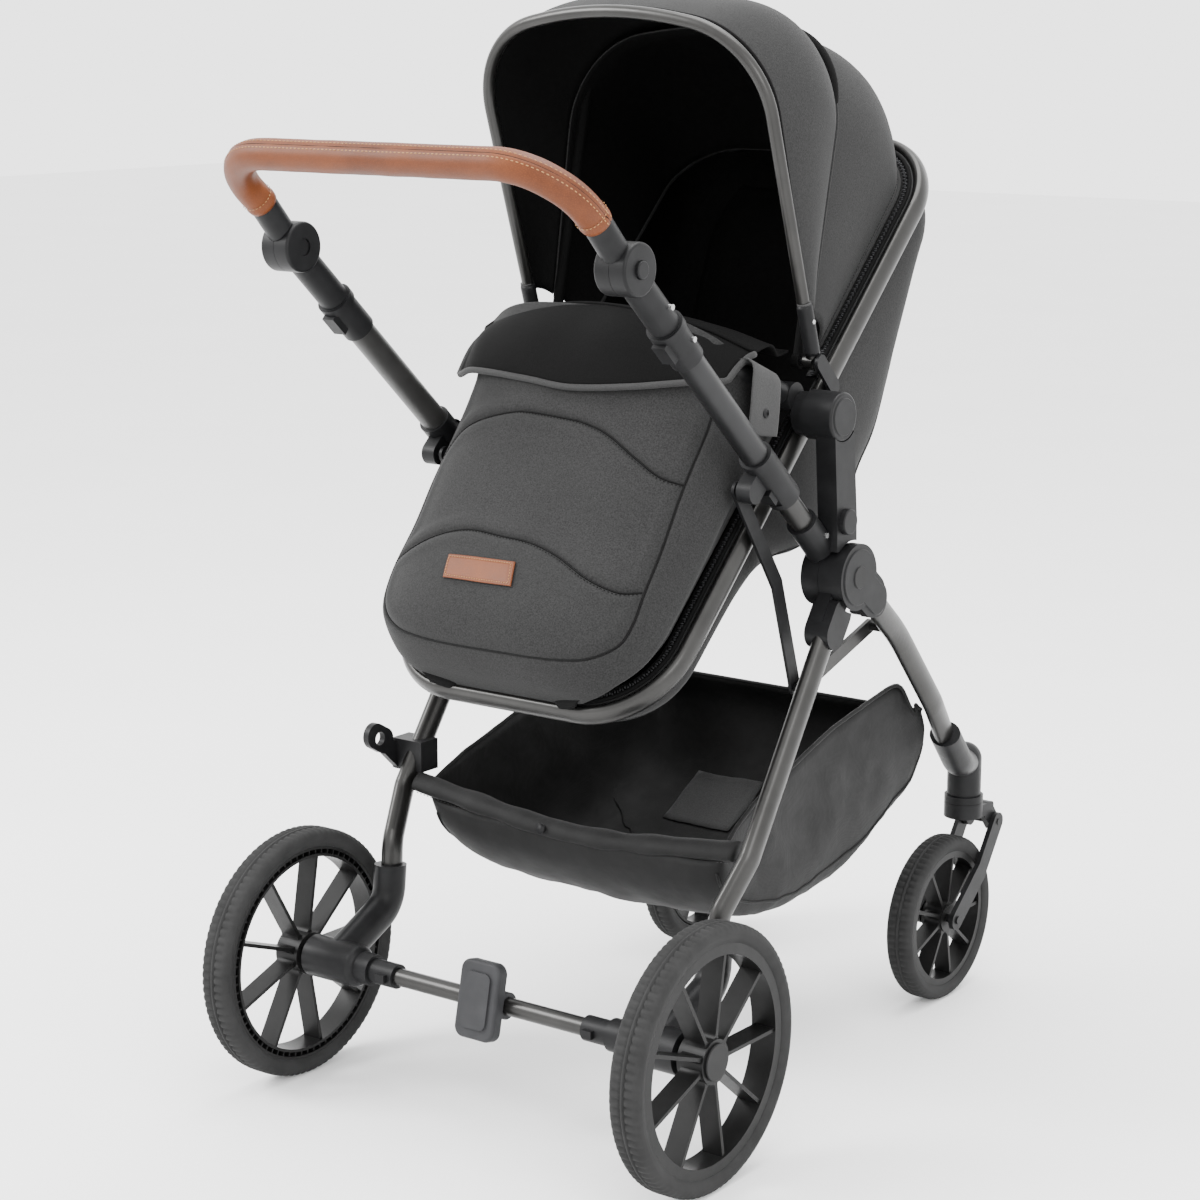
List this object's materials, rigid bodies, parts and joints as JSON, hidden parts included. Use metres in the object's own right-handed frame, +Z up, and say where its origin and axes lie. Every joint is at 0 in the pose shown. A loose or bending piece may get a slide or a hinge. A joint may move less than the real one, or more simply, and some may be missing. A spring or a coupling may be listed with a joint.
{
  "type": "baby stroller",
  "caption": "Folding baby stroller with a tilting seat unit, hood, leg cover, adjustable leather handlebar, under-seat basket and swivelling front casters.",
  "frame": {"origin": "on the floor under the middle of the whole stroller", "axes": "+X to the stroller's right, +Y in the direction of travel (casters in front), +Z up"},
  "size_m": [0.6, 0.9455, 1.2075],
  "materials": {
    "frame_metal": "gunmetal satin paint",
    "black_plastic": "fine matte",
    "wheel_plastic": "satin",
    "pedal_plastic": "matte",
    "tyre": "matte",
    "steel": "bright",
    "leather": "tan, stitched",
    "grey_fabric": "smooth knit",
    "black_fabric": "woven nylon",
    "foam_grip": "fabric-covered foam"
  },
  "bodies": {
    "front_frame": {"front_legs": "frame_metal", "hub_outer_covers": "black_plastic", "caster_housings": "black_plastic", "basket": "black_fabric", "basket_hem": "black_fabric"},
    "rear_frame": {"rear_legs": "frame_metal", "hub_middle_housings": "black_plastic", "axle_tube": "frame_metal", "axle_collars": "black_plastic", "axle_brackets": "black_plastic", "wheel_axles": "steel", "accessory_hook": "black_plastic"},
    "brake": {"brake_pedal": "pedal_plastic", "pedal_pad": "pedal_plastic"},
    "push_frame": {"hub_inner_housings": "black_plastic", "risers": "black_plastic", "upper_hubs": "black_plastic", "handle_tubes": "frame_metal", "handle_tube_covers": "black_plastic", "handle_sleeves": "black_plastic", "pivot_collars": "black_plastic", "knuckle_lowers": "black_plastic", "frame_screws": "steel"},
    "fold_link": {"fold_links": "black_plastic"},
    "cross_strut": {"cross_struts": "frame_metal"},
    "handlebar": {"handle_grip": "leather", "knuckle_uppers": "black_plastic"},
    "seat": {"seat_frame": "frame_metal", "seat_brackets": "black_plastic", "seat_tub": "grey_fabric", "apron": "grey_fabric", "bumper_bar": "foam_grip", "hood_rear_panel": "grey_fabric"},
    "hood_mid": {"hood_mid_bow": "frame_metal", "hood_front_panel": "grey_fabric"},
    "hood_front": {"hood_front_bow": "frame_metal"},
    "rear_wheel_left": {"rear_tyre_left": "tyre", "rear_rim_left": "wheel_plastic", "rear_hub_cap_left": "wheel_plastic"},
    "caster_fork_left": {"caster_fork_left": "black_plastic"},
    "caster_arm_left": {"caster_arm_left": "black_plastic"},
    "caster_wheel_left": {"caster_tyre_left": "tyre", "caster_rim_left": "wheel_plastic"},
    "swivel_lock_left": {"swivel_lock_left": "black_plastic"},
    "riser_button_left": {"riser_button_left": "black_plastic"},
    "fold_latch_left": {"fold_latch_left": "black_plastic"},
    "knuckle_button_left": {"knuckle_button_left": "black_plastic"},
    "bumper_button_left": {"bumper_button_left": "black_plastic"},
    "rear_wheel_right": {"rear_tyre_right": "tyre", "rear_rim_right": "wheel_plastic", "rear_hub_cap_right": "wheel_plastic"},
    "caster_fork_right": {"caster_fork_right": "black_plastic"},
    "caster_arm_right": {"caster_arm_right": "black_plastic"},
    "caster_wheel_right": {"caster_tyre_right": "tyre", "caster_rim_right": "wheel_plastic"},
    "swivel_lock_right": {"swivel_lock_right": "black_plastic"},
    "riser_button_right": {"riser_button_right": "black_plastic"},
    "fold_latch_right": {"fold_latch_right": "black_plastic"},
    "knuckle_button_right": {"knuckle_button_right": "black_plastic"},
    "bumper_button_right": {"bumper_button_right": "black_plastic"}
  },
  "joints": [
    {"name": "fold", "type": "hinge", "parent": "front_frame", "child": "push_frame", "pos_m": [0, 0.0435, 0.591], "axis": [1, 0, 0], "range_deg": [-60, 0]},
    {"name": "rear_fold", "type": "hinge", "parent": "front_frame", "child": "rear_frame", "pos_m": [0, 0.0435, 0.591], "axis": [1, 0, 0], "range_deg": [0, 41.5]},
    {"name": "link_swing", "type": "hinge", "parent": "push_frame", "child": "fold_link", "pos_m": [0, -0.1145, 0.704], "axis": [1, 0, 0], "range_deg": [0, 19.3]},
    {"name": "strut_swing", "type": "hinge", "parent": "front_frame", "child": "cross_strut", "pos_m": [0, 0.1435, 0.513], "axis": [1, 0, 0], "range_deg": [-23.5, 0]},
    {"name": "brake_press", "type": "hinge", "parent": "rear_frame", "child": "brake", "pos_m": [0, -0.2865, 0.1435], "axis": [1, 0, 0], "range_deg": [0, 16]},
    {"name": "handle_tilt", "type": "hinge", "parent": "push_frame", "child": "handlebar", "pos_m": [0, -0.3405, 0.953], "axis": [1, 0, 0], "range_deg": [-60, 60]},
    {"name": "recline", "type": "hinge", "parent": "push_frame", "child": "seat", "pos_m": [0, 0.0225, 0.769], "axis": [1, 0, 0], "range_deg": [-30, 12]},
    {"name": "hood_mid_fold", "type": "hinge", "parent": "seat", "child": "hood_mid", "pos_m": [0, 0.0465, 0.822], "axis": [1, 0, 0], "range_deg": [-30, 0]},
    {"name": "hood_front_fold", "type": "hinge", "parent": "hood_mid", "child": "hood_front", "pos_m": [0, 0.0465, 0.822], "axis": [1, 0, 0], "range_deg": [-30, 0]},
    {"name": "rear_spin_left", "type": "hinge", "parent": "rear_frame", "child": "rear_wheel_left", "pos_m": [-0.281, -0.2865, 0.1435], "axis": [1, 0, 0], "continuous": true},
    {"name": "caster_swivel_left", "type": "hinge", "parent": "front_frame", "child": "caster_fork_left", "pos_m": [-0.182, 0.4215, 0.23], "axis": [0, 0, 1], "continuous": true},
    {"name": "caster_spring_left", "type": "hinge", "parent": "caster_fork_left", "child": "caster_arm_left", "pos_m": [-0.182, 0.4645, 0.205], "axis": [1, 0, 0], "range_deg": [-6, 0], "stiffness_Nm_per_rad": 40, "springref_deg": 11.46},
    {"name": "caster_spin_left", "type": "hinge", "parent": "caster_arm_left", "child": "caster_wheel_left", "pos_m": [-0.182, 0.3675, 0.102], "axis": [1, 0, 0], "continuous": true},
    {"name": "swivel_lock_slide_left", "type": "slide", "parent": "front_frame", "child": "swivel_lock_left", "axis": [0, 0, 1], "range_m": [-0.008, 0]},
    {"name": "riser_press_left", "type": "slide", "parent": "push_frame", "child": "riser_button_left", "axis": [1, 0, 0], "range_m": [0, 0.004], "stiffness_N_per_m": 400, "springref_m": -0.001},
    {"name": "fold_latch_slide_left", "type": "slide", "parent": "push_frame", "child": "fold_latch_left", "axis": [0, 0.7373, -0.6756], "range_m": [0, 0.008], "stiffness_N_per_m": 300, "springref_m": -0.002},
    {"name": "knuckle_press_left", "type": "slide", "parent": "handlebar", "child": "knuckle_button_left", "axis": [1, 0, 0], "range_m": [0, 0.0035], "stiffness_N_per_m": 400, "springref_m": -0.001},
    {"name": "bumper_press_left", "type": "slide", "parent": "seat", "child": "bumper_button_left", "axis": [0, 1, 0], "range_m": [0, 0.0025], "stiffness_N_per_m": 400, "springref_m": -0.001},
    {"name": "rear_spin_right", "type": "hinge", "parent": "rear_frame", "child": "rear_wheel_right", "pos_m": [0.281, -0.2865, 0.1435], "axis": [1, 0, 0], "continuous": true},
    {"name": "caster_swivel_right", "type": "hinge", "parent": "front_frame", "child": "caster_fork_right", "pos_m": [0.182, 0.4215, 0.23], "axis": [0, 0, 1], "continuous": true},
    {"name": "caster_spring_right", "type": "hinge", "parent": "caster_fork_right", "child": "caster_arm_right", "pos_m": [0.182, 0.4645, 0.205], "axis": [1, 0, 0], "range_deg": [-6, 0], "stiffness_Nm_per_rad": 40, "springref_deg": 11.46},
    {"name": "caster_spin_right", "type": "hinge", "parent": "caster_arm_right", "child": "caster_wheel_right", "pos_m": [0.182, 0.3675, 0.102], "axis": [1, 0, 0], "continuous": true},
    {"name": "swivel_lock_slide_right", "type": "slide", "parent": "front_frame", "child": "swivel_lock_right", "axis": [0, 0, 1], "range_m": [-0.008, 0]},
    {"name": "riser_press_right", "type": "slide", "parent": "push_frame", "child": "riser_button_right", "axis": [-1, 0, 0], "range_m": [0, 0.004], "stiffness_N_per_m": 400, "springref_m": -0.001},
    {"name": "fold_latch_slide_right", "type": "slide", "parent": "push_frame", "child": "fold_latch_right", "axis": [0, 0.7373, -0.6756], "range_m": [0, 0.008], "stiffness_N_per_m": 300, "springref_m": -0.002},
    {"name": "knuckle_press_right", "type": "slide", "parent": "handlebar", "child": "knuckle_button_right", "axis": [-1, 0, 0], "range_m": [0, 0.0035], "stiffness_N_per_m": 400, "springref_m": -0.001},
    {"name": "bumper_press_right", "type": "slide", "parent": "seat", "child": "bumper_button_right", "axis": [0, 1, 0], "range_m": [0, 0.0025], "stiffness_N_per_m": 400, "springref_m": -0.001}
  ],
  "couplings": [
    {"joint": "rear_fold", "follows": "fold", "ratio": -0.69},
    {"joint": "link_swing", "follows": "fold", "ratio": -0.32},
    {"joint": "strut_swing", "follows": "fold", "ratio": 0.39},
    {"joint": "hood_front_fold", "follows": "hood_mid_fold", "ratio": 1}
  ]
}
